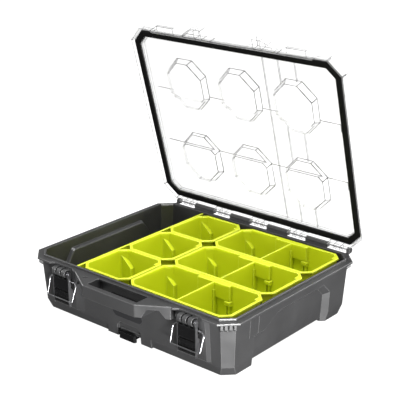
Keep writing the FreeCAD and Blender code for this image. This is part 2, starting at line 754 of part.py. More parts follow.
def case_base():
    """The moulded case with everything that is part of the same moulding."""
    body = case_outside()
    added = [latch_pad()]
    added += [wall_ridge(y) for y in RIDGE_PLACES]
    added = [s for shape in added for s in both_sides(shape)]
    added += corner_blocks()
    body = fused([body] + added + front_block())
    body = body.cut([underside().cut(front_block()), case_cavity()] + alcove_cut())
    body = body.cut(both_sides(recess_solid()) + both_sides(recess_crease()))
    body = body.cut([flange_notch(LATCH_X), flange_notch(-LATCH_X), finger_notch()])
    body = body.cut(plate_solid(PLATE_GAP, PLATE_SINK, 3))
    parts = [body, handle(), alcove_bead()] + both_sides(retainer())
    parts += [box(-TONGUE_HALF, TONGUE_HALF, SPRING_STOP_Y, SPRING_STOP_Y + SPRING_STOP_DEEP,
                  COVER_LOW + COVER_THICK, FOOT_HEIGHT + 1)]
    parts += [latch_knuckle(x) for s in (-1, 1) for x in latch_knuckle_places(s * LATCH_X)]
    parts += case_hinge_barrels()
    return fused(parts).cut(tether_slot())


def name_plate():
    """The bare dark inlay on the front wall."""
    return plate_solid(0, PLATE_SINK, PLATE_THICK - PLATE_SINK)


def hinge_pins():
    """Five steel pins, each through a group of lid knuckles into the barrels beside it."""
    half = hinge_group_half() + HINGE_PIN_GRIP
    return Part.makeCompound([rod(HINGE_PIN_R, x - half, x + half, HINGE_Y, HINGE_Z)
                              for x in hinge_places()])


def lever_profile():
    """Side view of the latch lever's plate."""
    back = LEVER_FRONT + LEVER_THICK
    return [(LEVER_FRONT, LEVER_LOW + 3), (LEVER_FRONT, LEVER_TOP - 1.5), (LEVER_FRONT + 1.5, LEVER_TOP),
            (back, LEVER_TOP), (back, LEVER_LOW), (LEVER_FRONT + 1.8, LEVER_LOW)]


def lever_ear(x, wide):
    """An ear of the lever on the latch pin."""
    back = LATCH_PIN_Y + LEVER_EAR_R * 0.8
    ring = rod(LEVER_EAR_R, x - wide / 2, x + wide / 2, LATCH_PIN_Y, LATCH_PIN_Z)
    web = side_prism([(LEVER_FRONT + 0.4, LEVER_TOP - 2), (LATCH_PIN_Y - LEVER_EAR_R * 0.9, LATCH_PIN_Z - 1),
                      (LATCH_PIN_Y, LATCH_PIN_Z), (back, LATCH_PIN_Z - 1), (back, LEVER_TOP - 2)],
                     x - wide / 2, x + wide / 2)
    return ring.fuse(web)


def latch_lever():
    """The black plastic lever, about the middle of the latch."""
    body = side_prism(lever_profile(), -LEVER_HALF, LEVER_HALF)
    step = box(-LEVER_HALF + 1.5, LEVER_HALF - 1.5, LEVER_FRONT - 1, LEVER_FRONT + LEVER_STEP_DEEP,
               LEVER_STEP_HEIGHT, LEVER_STEP_HEIGHT + LEVER_STEP_WIDE)
    grips = []
    for i in range(LEVER_GRIP_COUNT):
        z = LEVER_GRIP_LOW + i * LEVER_GRIP_PITCH
        grips.append(box(-LEVER_HALF + 3, LEVER_HALF - 3, LEVER_FRONT - 1, LEVER_FRONT + LEVER_GRIP_DEEP,
                         z, z + LEVER_GRIP_PITCH / 2))
    body = body.cut([step] + grips)
    back = LEVER_FRONT + LEVER_THICK
    cheek = box(LEVER_HALF - LEVER_CHEEK_WIDE, LEVER_HALF, back - 1, LEVER_CHEEK_BACK,
                LEVER_CHEEK_LOW, LEVER_CHEEK_HIGH - 2)
    outer = LATCH_KNUCKLE_PITCH + LATCH_KNUCKLE_WIDE / 2 + 0.4
    ears = [lever_ear(s * LATCH_KNUCKLE_PITCH / 2, LEVER_EAR_WIDE) for s in (-1, 1)]
    ears += [lever_ear(s * (outer + LEVER_HALF) / 2, LEVER_HALF - outer) for s in (-1, 1)]
    body = fused([body] + both_sides(cheek) + ears)
    pin = rod(LATCH_PIN_R + PIN_RUN, -FAR, FAR, LATCH_PIN_Y, LATCH_PIN_Z)
    wire_hole = rod(BAIL_WIRE_R + PIN_RUN, -FAR, FAR, BAIL_PIVOT_Y, BAIL_PIVOT_Z)
    return body.cut([pin, wire_hole])


def latch_bracket():
    """The pressed steel bracket behind the lever: a plate with two shaped cheeks."""
    back = LEVER_FRONT + LEVER_THICK
    inner = LEVER_HALF + 0.3
    profile = [(LATCH_PIN_Y - BRACKET_EAR_R * 0.9, LATCH_PIN_Z - 2), (LEVER_FRONT - 0.6, LEVER_TOP + 2),
               (LEVER_FRONT - 0.6, LEVER_LOW + 4), (LEVER_FRONT + 0.6, BRACKET_TIP),
               (LEVER_FRONT + 4, BRACKET_TIP), (BRACKET_STRAP_BACK, LEVER_LOW + 2),
               (BRACKET_WIDE_BACK, BRACKET_WIDE_LOW), (BRACKET_WIDE_BACK, BRACKET_WIDE_HIGH - 5),
               (BRACKET_STRAP_BACK, BRACKET_WIDE_HIGH), (BRACKET_STRAP_BACK, LATCH_PIN_Z - 2)]
    cheek = side_prism(profile, inner, inner + BRACKET_THICK)
    ear = rod(BRACKET_EAR_R, inner, inner + BRACKET_THICK, LATCH_PIN_Y, LATCH_PIN_Z)
    cheek = cheek.fuse(ear).cut(rod(LATCH_PIN_R + PIN_RUN, 0, FAR, LATCH_PIN_Y, LATCH_PIN_Z))
    plate = box(-inner - 0.2, inner + 0.2, back, back + BRACKET_PLATE, BRACKET_WIDE_LOW, BRACKET_WIDE_HIGH - 1)
    return fused(both_sides(cheek) + [plate])


def latch_pin():
    """The steel pin of a latch, with a round head at each end."""
    shank = rod(LATCH_PIN_R, -LATCH_PIN_HALF, LATCH_PIN_HALF, LATCH_PIN_Y, LATCH_PIN_Z)
    head = rod(LATCH_PIN_R + 0.9, LATCH_PIN_HALF, LATCH_PIN_HALF + 1.4, LATCH_PIN_Y, LATCH_PIN_Z)
    return fused([shank] + both_sides(head))


def bent_wire(points, bend):
    """Straight runs joined by tangent arcs of one radius, as one path."""
    edges = []
    start = points[0]
    for before, corner, after in zip(points, points[1:], points[2:]):
        back = (before - corner).normalize()
        ahead = (after - corner).normalize()
        half = back.getAngle(ahead) / 2
        reach = bend / math.tan(half)
        first = corner + back * reach
        last = corner + ahead * reach
        middle = (back + ahead).normalize()
        centre = corner + middle * (bend / math.sin(half))
        edges.append(Part.LineSegment(start, first).toShape())
        edges.append(Part.Arc(first, centre - middle * bend, last).toShape())
        start = last
    edges.append(Part.LineSegment(start, points[-1]).toShape())
    return Part.Wire(edges)


def latch_bail():
    """The sprung wire bail, hanging from the lever and tilted forward."""
    inner = LEVER_HALF - LEVER_CHEEK_WIDE + 0.6
    right = [(inner, 0), (BAIL_SHOULDER_HALF, 0), (BAIL_BELLY_HALF, BAIL_BELLY), (BAIL_HALF, BAIL_LENGTH)]
    left = [(-x, s) for x, s in reversed(right)]
    points = [V(x, 0, -s) for x, s in right + left]
    path = bent_wire(points, BAIL_BEND)
    ring = Part.Wire([Part.makeCircle(BAIL_WIRE_R, points[0], V(1, 0, 0))])
    bail = path.makePipeShell([ring], True, False)
    bail.rotate(V(0, 0, 0), V(1, 0, 0), -BAIL_TILT)
    bail.translate(V(0, BAIL_PIVOT_Y, BAIL_PIVOT_Z))
    return bail


def stack_latch():
    """The black push button with its tongue under the floor."""
    head_back = BUTTON_FRONT + BUTTON_HEAD_DEEP
    c = BUTTON_CHAMFER
    outline = [(c - BUTTON_HALF, BUTTON_FRONT), (BUTTON_HALF - c, BUTTON_FRONT),
               (BUTTON_HALF, BUTTON_FRONT + c), (BUTTON_HALF, head_back), (-BUTTON_HALF, head_back),
               (-BUTTON_HALF, BUTTON_FRONT + c)]
    head = prism(outline, BUTTON_LOW, BUTTON_HIGH)
    low = COVER_LOW + COVER_THICK + TONGUE_GAP
    high = FOOT_HEIGHT - TONGUE_GAP
    tongue = box(-TONGUE_HALF, TONGUE_HALF, head_back - 1, TONGUE_BACK, low, high)
    shoulder = box(-TONGUE_SHOULDER_HALF, TONGUE_SHOULDER_HALF, TONGUE_BACK - TONGUE_SHOULDER_DEEP,
                   TONGUE_BACK, low, high)
    return fused([head, tongue, shoulder])


def stack_latch_spring():
    """The return spring between the tongue and its stop, a plain tube here."""
    z = (COVER_LOW + COVER_THICK + FOOT_HEIGHT) / 2
    long = SPRING_STOP_Y - TONGUE_BACK - 2 * TONGUE_GAP
    start = V(0, TONGUE_BACK + TONGUE_GAP, z)
    outside = Part.makeCylinder(SPRING_R, long, start, V(0, 1, 0))
    inside = Part.makeCylinder(SPRING_R - SPRING_WIRE, long, start, V(0, 1, 0))
    return outside.cut(inside)


def screw_solid(x, radius_shank, radius_head, long):
    """A countersunk screw, or the space for one, with its head flush with the cover."""
    top = COVER_LOW + COVER_THICK
    cone = Part.makeCone(radius_head, radius_shank, COVER_THICK, V(x, screw_y(), COVER_LOW))
    shank = Part.makeCylinder(radius_shank, long - COVER_THICK, V(x, screw_y(), top))
    return cone.fuse(shank)


def stack_latch_cover():
    """The cover plate under the tongue, with two countersunk holes."""
    front = retainer_back() - RETAINER_DEEP
    plate = box(-RETAINER_OUT, RETAINER_OUT, front, COVER_BACK, COVER_LOW, COVER_LOW + COVER_THICK)
    gap = SCREW_HOLE_R - SCREW_SHANK_R
    holes = [screw_solid(x, SCREW_HOLE_R, SCREW_HEAD_R + gap, SCREW_LONG) for x in (-SCREW_X, SCREW_X)]
    return plate.cut(holes)


def cover_screws():
    """The two screws of the cover."""
    return Part.makeCompound([screw_solid(x, SCREW_SHANK_R, SCREW_HEAD_R, SCREW_LONG)
                              for x in (-SCREW_X, SCREW_X)])


def lid_z(height):
    """A height above the lip, in the case's own heights."""
    return CASE_HEIGHT + height


def lid_outline(margin):
    """The lid's outline moved inwards, with its front edge set back between the corners."""
    a, b = LID_X - margin, LID_Y - margin
    c = LID_CORNER - margin * GROW
    step = LID_FRONT_STEP_HALF + margin
    back = -b + LID_FRONT_STEP
    return [(c - a, -b), (-step - LID_FRONT_STEP, -b), (-step, back), (step, back),
            (step + LID_FRONT_STEP, -b), (a - c, -b), (a, c - b), (a, b - c),
            (a - c, b), (c - a, b), (-a, b - c), (-a, c - b)]


def gasket_outline(margin):
    """Outline of the gasket moved inwards, in step with the lip."""
    return octagon(LIP_X + GASKET_OUT_X - margin, LIP_Y + GASKET_OUT_Y - margin,
                   LIP_CORNER + (GASKET_OUT_Y - margin) * GROW)


def ring(outer, inner, low, high):
    """A ring between two outlines."""
    return prism(outer, low, high).cut(prism(inner, low - 1, high + 1))


def gasket_channel():
    """The two ribs and the roof that hold the gasket."""
    gap, wall = GASKET_GAP, CHANNEL_WALL
    low, top = lid_z(CHANNEL_LOW), lid_z(LID_TOP) - LID_WALL
    outer = ring(gasket_outline(-gap - wall), gasket_outline(-gap), low, top + 1)
    inner = ring(gasket_outline(GASKET_WIDE + gap), gasket_outline(GASKET_WIDE + gap + wall), low, top + 1)
    roof = ring(gasket_outline(-gap - 0.5), gasket_outline(GASKET_WIDE + gap + 0.5),
                lid_z(GASKET_HIGH), lid_z(GASKET_HIGH) + CHANNEL_ROOF)
    return [outer, inner, roof]


def lid_gasket():
    """The rubber seal."""
    c = GASKET_CHAMFER
    low, high = lid_z(GASKET_LOW), lid_z(GASKET_HIGH)
    outside = fused([prism(gasket_outline(0), low + c, high),
                     loft([(gasket_outline(c), low), (gasket_outline(0), low + c)])])
    inside = fused([prism(gasket_outline(GASKET_WIDE), low + c, high + 1),
                    loft([(gasket_outline(GASKET_WIDE - c), low), (gasket_outline(GASKET_WIDE), low + c)])])
    return opened(outside.cut(inside))


def pocket_solid(x, y, margin, low, high):
    """A tapered eight-sided well, moved inwards by a margin."""
    share = (lid_z(LID_TOP) - low) / (LID_TOP - POCKET_FLOOR)
    wide = octagon(POCKET_HALF_X - margin, POCKET_HALF_Y - margin, POCKET_CORNER - margin * GROW, y, x)
    draft = POCKET_DRAFT * share
    narrow = octagon(POCKET_HALF_X - margin - draft, POCKET_HALF_Y - margin - draft,
                     POCKET_CORNER - margin * GROW, y, x)
    return loft([(narrow, low), (wide, lid_z(LID_TOP))]).common(box(-FAR, FAR, -FAR, FAR, low, high))


def pocket_shelf(x, y, grow, low):
    """The end of a pocket towards the middle of the lid, below a height."""
    side = -1 if y > 0 else 1
    y_end = y + side * POCKET_HALF_Y
    y_in = y_end - side * (POCKET_SHELF + grow)
    return box(x - POCKET_HALF_X, x + POCKET_HALF_X, min(y_end, y_in), max(y_end, y_in), lid_z(-5), low)


def pockets():
    """The stacking pockets: their outsides to add and their insides to cut."""
    wells, spaces = [], []
    for x in POCKET_X:
        for y in (-POCKET_Y, POCKET_Y):
            rise = lid_z(POCKET_FLOOR + POCKET_SHELF_RISE)
            well = pocket_solid(x, y, 0, lid_z(POCKET_FLOOR), lid_z(LID_TOP) - 1)
            wells.append(well.cut(pocket_shelf(x, y, 0, rise)))
            space = pocket_solid(x, y, POCKET_WALL, lid_z(POCKET_FLOOR) + POCKET_WALL, lid_z(LID_TOP))
            space = space.cut(pocket_shelf(x, y, POCKET_WALL, rise + POCKET_WALL))
            spaces.append(space.fuse(cap_space(x, y)))
    return wells, spaces


def cap_space(x, y):
    """The mouth of a pocket through the lid's top face."""
    mouth = octagon(POCKET_HALF_X - POCKET_WALL, POCKET_HALF_Y - POCKET_WALL,
                    POCKET_CORNER - POCKET_WALL * GROW, y, x)
    return prism(mouth, lid_z(LID_TOP), lid_z(LID_TOP) + 1)


def lid_catch(x):
    """The shelf that a bail hooks over."""
    low = lid_z(CATCH_SHELF_TOP) - CATCH_THICK
    back = -LID_Y + LID_FRONT_STEP + 1
    shelf = box(x - CATCH_HALF, x + CATCH_HALF, CATCH_FRONT, back, low, lid_z(CATCH_SHELF_TOP))
    hook = box(x - CATCH_HALF, x + CATCH_HALF, CATCH_FRONT, CATCH_FRONT + CATCH_LIP, low, lid_z(CATCH_HIGH))
    hook_top = [e for e in hook.Edges if abs(e.BoundBox.ZMin - lid_z(CATCH_HIGH)) < 1e-4
                and e.BoundBox.XLength < 1e-4]
    hook = hook.makeFillet(3.0, hook_top)
    return shelf.fuse(hook)


def lid_ear():
    """The hollow ear over the right arm of the handle."""
    root = -LID_Y + LID_FRONT_STEP + 1
    outline = [(EAR_INNER_END, root), (EAR_INNER_END, root - 1.5), (EAR_TOWER_IN, root - 3),
               (EAR_TOWER_IN, EAR_FRONT), (EAR_TOWER_OUT, EAR_FRONT),
               (EAR_SHOULDER_X, EAR_SHOULDER_Y), (EAR_END, root - 1.5), (EAR_END, root)]
    low, high = lid_z(LID_SKIRT_LOW), lid_z(LID_TOP) - 2
    body = prism(outline, low, high)
    w = EAR_WALL
    tower = [(EAR_TOWER_IN + w, root - w), (EAR_TOWER_IN + w, EAR_FRONT + w),
             (EAR_TOWER_OUT - w, EAR_FRONT + w), (EAR_TOWER_OUT - w, root - w)]
    wing = [(EAR_TOWER_OUT, root - w), (EAR_TOWER_OUT, EAR_FRONT + 2 * w),
            (EAR_SHOULDER_X - 1, EAR_SHOULDER_Y + w), (EAR_END - 3 * w, root - 1.5 * w),
            (EAR_END - 3 * w, root - w)]
    return body.cut([prism(tower, low - 1, high - w), prism(wing, low - 1, high - w)])


def lid_shell():
    """The clear lid, drawn closed."""
    low, top = lid_z(LID_SKIRT_LOW), lid_z(LID_TOP)
    body = prism(lid_outline(0), low, top)
    body = body.makeFillet(LID_ROUND, level_edges(body, top))
    body = body.cut(prism(lid_outline(LID_WALL), low - 1, top - LID_WALL))
    wells, spaces = pockets()
    ribs = [box(x - LID_RIB_WIDE / 2, x + LID_RIB_WIDE / 2, -LID_RIB_HALF, LID_RIB_HALF,
                top - LID_WALL - LID_RIB_DEEP, top - 1) for x in LID_RIBS]
    catches = both_sides(lid_catch(LATCH_X))
    body = fused([body] + wells + ribs + gasket_channel() + catches + both_sides(lid_ear()))
    channels = [box(-LID_CHANNEL_HALF, LID_CHANNEL_HALF, a, b, top - LID_CHANNEL_DEEP, top + 1)
                for a, b in LID_CHANNELS]
    body = body.cut(channels + spaces)
    return opened(fused([body] + lid_hinge_knuckles()))


def lid_hinge_knuckles():
    """All the hinge knuckles of the lid."""
    near = HINGE_R * 0.95
    web = [(LID_REAR_IN + 1, lid_z(LID_SKIRT_LOW) + 0.3), (HINGE_Y - 1, HINGE_Z - near), (HINGE_Y, HINGE_Z),
           (HINGE_Y + 1, HINGE_Z + near), (LID_REAR_IN + 1, lid_z(9.5))]
    half = HINGE_LID_KNUCKLE / 2
    middles = [x + d for x in hinge_places() for d in lid_knuckle_offsets()]
    hole = rod(HINGE_PIN_R + PIN_RUN, -LID_X, LID_X, HINGE_Y, HINGE_Z)
    return [hinge_barrel(x - half, x + half, web).cut(hole) for x in middles]


def opened(shape):
    """Turn a closed lid piece about the hinge to the open position."""
    shape.rotate(V(0, HINGE_Y, HINGE_Z), V(1, 0, 0), -LID_OPEN)
    return shape


def tray_front_y():
    """Front of the tray's floor where the alcove bulges into the case."""
    return alcove_inside_y() + TRAY_NOTCH_GAP


def bin_tray():
    """The tray that the bins stand in: a floor, a tall left wall and a low curb."""
    low = FLOOR_TOP + TRAY_GAP
    high = low + TRAY_FLOOR
    c = TRAY_CORNER
    outline = [(TRAY_LEFT, -TRAY_HALF_Y), (TRAY_RIGHT - c, -TRAY_HALF_Y), (TRAY_RIGHT, c - TRAY_HALF_Y),
               (TRAY_RIGHT, TRAY_HALF_Y - c), (TRAY_RIGHT - c, TRAY_HALF_Y), (TRAY_LEFT, TRAY_HALF_Y)]
    body = prism(outline, low, low + TRAY_CURB_HIGH)
    room = [(TRAY_LEFT + TRAY_WALL, TRAY_CURB - TRAY_HALF_Y), (TRAY_RIGHT - c, TRAY_CURB - TRAY_HALF_Y),
            (TRAY_RIGHT - TRAY_CURB, c - TRAY_HALF_Y), (TRAY_RIGHT - TRAY_CURB, TRAY_HALF_Y - c),
            (TRAY_RIGHT - c, TRAY_HALF_Y - TRAY_CURB), (TRAY_LEFT + TRAY_WALL, TRAY_HALF_Y - TRAY_CURB)]
    body = body.cut(prism(room, high, low + TRAY_CURB_HIGH + 1))
    top = CASE_HEIGHT - TRAY_TOP_DROP
    reach_low = TRAY_HALF_Y
    reach_top = cavity_y(top) - TRAY_WALL_GAP
    wall = side_prism([(-reach_low, low), (reach_low, low), (reach_top, top), (-reach_top, top)],
                      TRAY_LEFT, TRAY_LEFT + TRAY_WALL)
    bead = box(TRAY_LEFT - TRAY_BEAD, TRAY_LEFT + TRAY_WALL + TRAY_BEAD, -reach_top, reach_top,
               top - TRAY_BEAD_HIGH, top)
    bead = bead.makeFillet(TRAY_BEAD, level_edges(bead, top))
    half = ALCOVE_HALF + ALCOVE_WALL + TRAY_NOTCH_GAP
    notch = box(-half, half, -FAR, tray_front_y(), 0, CASE_HEIGHT)
    return fused([body, wall, bead]).cut(notch)


def bin_bottom():
    """Height that the bins stand at."""
    return FLOOR_TOP + 2 * TRAY_GAP + TRAY_FLOOR


def bin_inset(z):
    """How far the taper has drawn a bin's wall in at a height."""
    return (CASE_HEIGHT - BIN_DROP - z) * math.tan(math.radians(BIN_TAPER))


def bin_plan(x0, x1, y, margin, z):
    """Plan of a bin at a height, moved inwards by a margin."""
    share = (CASE_HEIGHT - BIN_DROP - z) / (CASE_HEIGHT - BIN_DROP - bin_bottom())
    corner = BIN_CORNER + (BIN_CORNER_LOW - BIN_CORNER) * share
    draw = margin + bin_inset(z)
    return octagon((x1 - x0) / 2 - draw, BIN_DEPTH / 2 - draw, corner - margin * GROW, y, (x0 + x1) / 2)


def bin_space(x0, x1, y):
    """The inside of a bin, with rounded corners."""
    margin = BIN_RIM_OUT + BIN_WALL
    low, high = bin_bottom() + BIN_FLOOR, CASE_HEIGHT - BIN_DROP + 1
    space = loft([(bin_plan(x0, x1, y, margin, low), low), (bin_plan(x0, x1, y, margin, high), high)])
    sides = [e for e in space.Edges if e.BoundBox.ZLength > 10]
    space = space.makeFillet(BIN_INNER_ROUND, sides)
    return space.makeFillet(BIN_INNER_ROUND / 2, level_edges(space, low))


def bin_shell(x0, x1, y, space):
    """Walls, floor and rim of a bin."""
    low, high = bin_bottom(), CASE_HEIGHT - BIN_DROP
    body = loft([(bin_plan(x0, x1, y, BIN_RIM_OUT, low), low), (bin_plan(x0, x1, y, BIN_RIM_OUT, high), high)])
    rim = prism(bin_plan(x0, x1, y, 0, high), high - BIN_RIM_HIGH, high)
    rim = rim.makeFillet(BIN_RIM_ROUND, level_edges(rim, high))
    return body.fuse(rim).cut(space)


def bin_ramp(x0, y, ramp, space):
    """The raised ramp on the back wall in a bin's left corner."""
    start, end, drop = ramp
    low, top = bin_bottom(), CASE_HEIGHT - BIN_DROP
    fall = math.tan(math.radians(RAMP_SLOPE))
    back = y + BIN_DEPTH / 2
    front = back - BIN_RIM_OUT - BIN_WALL - bin_inset(top - drop) - RAMP_PROUD
    profile = [(x0, low), (x0 + end, low), (x0 + end, top - drop - (end - start) * fall),
               (x0 + start, top - drop), (x0 + start - 3, top - drop + 0.8), (x0, top - drop + 0.8)]
    return front_prism(profile, front, back).common(space)


def bin_tab(x1, y, space):
    """The small pull tab in the rim's back right corner."""
    top = CASE_HEIGHT - BIN_DROP
    tab = box(x1 - BIN_TAB - 2, x1 - 1, y + BIN_DEPTH / 2 - BIN_CORNER - BIN_TAB,
              y + BIN_DEPTH / 2 - BIN_CORNER + 2, top - BIN_RIM_HIGH, top)
    return tab.common(space)


def small_bin(y):
    """One small bin."""
    x0, x1 = SMALL_BIN_X
    space = bin_space(x0, x1, y)
    extras = [bin_ramp(x0, y, SMALL_RAMP, space), bin_tab(x1, y, space)]
    return fused([bin_shell(x0, x1, y, space)] + extras)


def bin_back_in(z):
    """Inside of a bin's back wall at a height, from the bin's middle."""
    return BIN_DEPTH / 2 - BIN_RIM_OUT - BIN_WALL - bin_inset(z)


def label_face_y(y):
    """Front of the label holder on a double bin's back wall."""
    return y + bin_back_in(CASE_HEIGHT - BIN_DROP - LABEL_HIGH) - LABEL_PROUD


def double_bin(y):
    """One double bin with its label holder, divider guides and post."""
    x0, x1 = DOUBLE_BIN_X
    x = DIVIDER_X
    space = bin_space(x0, x1, y)
    low, top = bin_bottom(), CASE_HEIGHT - BIN_DROP
    face = label_face_y(y)
    back = y + BIN_DEPTH / 2
    label = box(x - LABEL_HALF, x + LABEL_HALF, face, back, top - LABEL_HIGH, top)
    post = box(x + LABEL_HALF - POST_WIDE, x + LABEL_HALF, face, back, low, top - LABEL_HIGH - POST_GAP_HIGH)
    middle = x + LABEL_HALF - POST_WIDE / 2
    post = post.cut(box(middle - POST_SLOT / 2, middle + POST_SLOT / 2, face - 1, face + POST_SLOT, low, top))
    nub_top = top - LABEL_HIGH - NUB_HIGH
    nub = side_prism([(face, nub_top), (back, nub_top), (back, nub_top - NUB_LOW - NUB_PROUD),
                      (face, nub_top - NUB_LOW - NUB_PROUD), (face - NUB_PROUD, nub_top - NUB_LOW),
                      (face - NUB_PROUD, nub_top)], x + LABEL_HALF - POST_WIDE + 1, x + LABEL_HALF + NUB_OUT)
    near = x + DIVIDER / 2 + DIVIDER_GAP
    guides = []
    for a, b in ((near, near + GUIDE_WIDE), (2 * x - near - GUIDE_WIDE, 2 * x - near)):
        guides.append(box(a, b, face - GUIDE_PROUD, back, low, top - GUIDE_DROP))
        guides.append(box(a, b, y - BIN_DEPTH / 2, y - bin_back_in(low) + GUIDE_PROUD, low, top - GUIDE_DROP))
    extras = [s.common(space) for s in [label, post, nub] + guides]
    extras += [bin_ramp(x0, y, DOUBLE_RAMP, space), bin_tab(x1, y, space)]
    return fused([bin_shell(x0, x1, y, space)] + extras)


def divider(y):
    """The slide-in divider of a double bin."""
    x = DIVIDER_X
    low = bin_bottom() + BIN_FLOOR + DIVIDER_GAP
    top = CASE_HEIGHT - BIN_DROP - DIVIDER_DROP
    back = label_face_y(y) - DIVIDER_GAP
    round_low = BIN_INNER_ROUND / 2
    front_low = y - bin_back_in(low) + DIVIDER_GAP
    front_top = y - bin_back_in(top) + DIVIDER_GAP
    profile = [(front_low + round_low, low), (back, low), (back, top), (front_top, top),
               (front_low, low + round_low)]
    return side_prism(profile, x - DIVIDER / 2, x + DIVIDER / 2)


def middle_y():
    """Middle of the object's box along Y, from the handle to the back of the open lid."""
    swing = math.radians(LID_OPEN)
    back = HINGE_Y - (HINGE_Y - LID_Y) * math.cos(swing) + LID_TOP * math.sin(swing)
    return (HANDLE_FRONT + back) / 2


def write(name, shape):
    """Move a piece to the object's origin and save it."""
    shape = shape.copy()
    shape.translate(V(0, -middle_y(), 0))
    shape.exportStep("parts/" + name + ".step")


def moved(shape, x):
    """A copy of a latch piece at one of the two latches."""
    copy = shape.copy()
    copy.translate(V(x, 0, 0))
    return copy


def main():
    os.makedirs("parts", exist_ok=True)
    write("case_base", case_base())
    write("name_plate", name_plate())
    write("hinge_pins", hinge_pins())
    write("lid_shell", lid_shell())
    write("lid_gasket", lid_gasket())
    latch = {"latch_lever": latch_lever(), "latch_bracket": latch_bracket(),
             "latch_pin": latch_pin(), "latch_bail": latch_bail()}
    for side, x in (("left", -LATCH_X), ("right", LATCH_X)):
        for name, shape in latch.items():
            write(side + "_" + name, moved(shape, x))
    write("stack_latch", stack_latch())
    write("stack_latch_spring", stack_latch_spring())
    write("stack_latch_cover", stack_latch_cover())
    write("cover_screws", cover_screws())
    write("bin_tray", bin_tray())
    for row, y in (("front", -BIN_PITCH), ("middle", 0.0), ("back", BIN_PITCH)):
        write("small_bin_" + row, small_bin(y))
        write("double_bin_" + row, double_bin(y))
        write("divider_" + row, divider(y))


main()
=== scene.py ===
import math

import bpy
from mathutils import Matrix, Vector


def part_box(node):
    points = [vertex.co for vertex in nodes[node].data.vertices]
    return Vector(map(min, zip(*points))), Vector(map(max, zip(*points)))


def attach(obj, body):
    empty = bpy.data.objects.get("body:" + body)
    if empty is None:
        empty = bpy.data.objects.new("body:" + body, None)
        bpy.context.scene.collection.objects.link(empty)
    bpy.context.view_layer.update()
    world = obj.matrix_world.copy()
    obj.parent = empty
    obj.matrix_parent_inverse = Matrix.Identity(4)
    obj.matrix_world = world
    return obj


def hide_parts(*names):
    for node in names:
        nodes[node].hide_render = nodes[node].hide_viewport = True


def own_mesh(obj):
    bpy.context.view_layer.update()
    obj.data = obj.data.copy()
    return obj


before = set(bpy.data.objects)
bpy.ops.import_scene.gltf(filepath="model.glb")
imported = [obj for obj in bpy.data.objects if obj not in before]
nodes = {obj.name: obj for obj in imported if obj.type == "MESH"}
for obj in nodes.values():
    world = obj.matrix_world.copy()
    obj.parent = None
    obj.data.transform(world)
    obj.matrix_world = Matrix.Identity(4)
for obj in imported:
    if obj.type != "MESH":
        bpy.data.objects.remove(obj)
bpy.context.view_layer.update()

# The set: the camera stands at the corner of the handle and the right-hand side, a little above
# the case, and looks along a long lens. The floor is a plain white sheet under soft lamps.
camera_place = (1.2990, -1.5075, 0.9541)
camera_turn = math.radians(40.264)
camera_drop = math.radians(19.926)
camera_data = bpy.data.cameras.new("camera")
camera_data.sensor_width = 36
camera_data.lens = 97.57
camera_data.clip_end = 100
camera = bpy.data.objects.new("camera", camera_data)
camera.location = camera_place
camera.rotation_euler = (math.pi / 2 - camera_drop, 0, camera_turn)
bpy.context.scene.collection.objects.link(camera)
bpy.context.scene.camera = camera
bpy.context.scene.view_settings.view_transform = "Standard"


def link(tree, source, target):
    """Join two sockets of a material."""
    tree.links.new(source, target)


def by_ray(tree, straight, mirrored, other):
    """One value for straight looks, also through the lid, one for reflections and one for the rest."""
    path = tree.nodes.new("ShaderNodeLightPath")
    seen = tree.nodes.new("ShaderNodeMath")
    seen.operation = "MAXIMUM"
    link(tree, path.outputs["Is Camera Ray"], seen.inputs[0])
    link(tree, path.outputs["Is Transmission Ray"], seen.inputs[1])
    bounced = tree.nodes.new("ShaderNodeMix")
    bounced.inputs["A"].default_value = other
    bounced.inputs["B"].default_value = mirrored
    link(tree, path.outputs["Is Glossy Ray"], bounced.inputs["Factor"])
    value = tree.nodes.new("ShaderNodeMix")
    value.inputs["B"].default_value = straight
    link(tree, bounced.outputs["Result"], value.inputs["A"])
    link(tree, seen.outputs[0], value.inputs["Factor"])
    return value.outputs["Result"]


world = bpy.data.worlds.new("studio")
bpy.context.scene.world = world
world.use_nodes = True
tree = world.node_tree
link(tree, by_ray(tree, 1.0, 0.25, 0.8), tree.nodes["Background"].inputs["Strength"])
tree.nodes["Background"].inputs["Color"].default_value = (1, 1, 1, 1)

floor_width = 24
bpy.ops.mesh.primitive_plane_add(size=floor_width, location=(0, 0, 0))
floor = bpy.context.object
floor.name = "floor"
floor_paint = bpy.data.materials.new("floor_white")
floor_paint.use_nodes = True
tree = floor_paint.node_tree
skin = tree.nodes["Principled BSDF"]
skin.inputs["Roughness"].default_value = 0.9
skin.inputs["Specular IOR Level"].default_value = 0.0
skin.inputs["Emission Color"].default_value = (1, 1, 1, 1)
link(tree, by_ray(tree, 0.2, 0.06, 0.2), skin.inputs["Base Color"])
link(tree, by_ray(tree, 0.92, 0.05, 0.0), skin.inputs["Emission Strength"])
floor.data.materials.append(floor_paint)


def lamp(name, place, target, width, height, power):
    """A soft lamp of a width and a height that faces a point."""
    data = bpy.data.lights.new(name, "AREA")
    data.shape = "RECTANGLE"
    data.size = width
    data.size_y = height
    data.energy = power
    holder = bpy.data.objects.new(name, data)
    holder.location = place
    aim = [t - p for t, p in zip(target, place)]
    flat = math.hypot(aim[0], aim[1])
    quarter = math.pi / 2
    holder.rotation_euler = (quarter + math.atan2(aim[2], flat), 0, math.atan2(aim[1], aim[0]) - quarter)
    bpy.context.scene.collection.objects.link(holder)


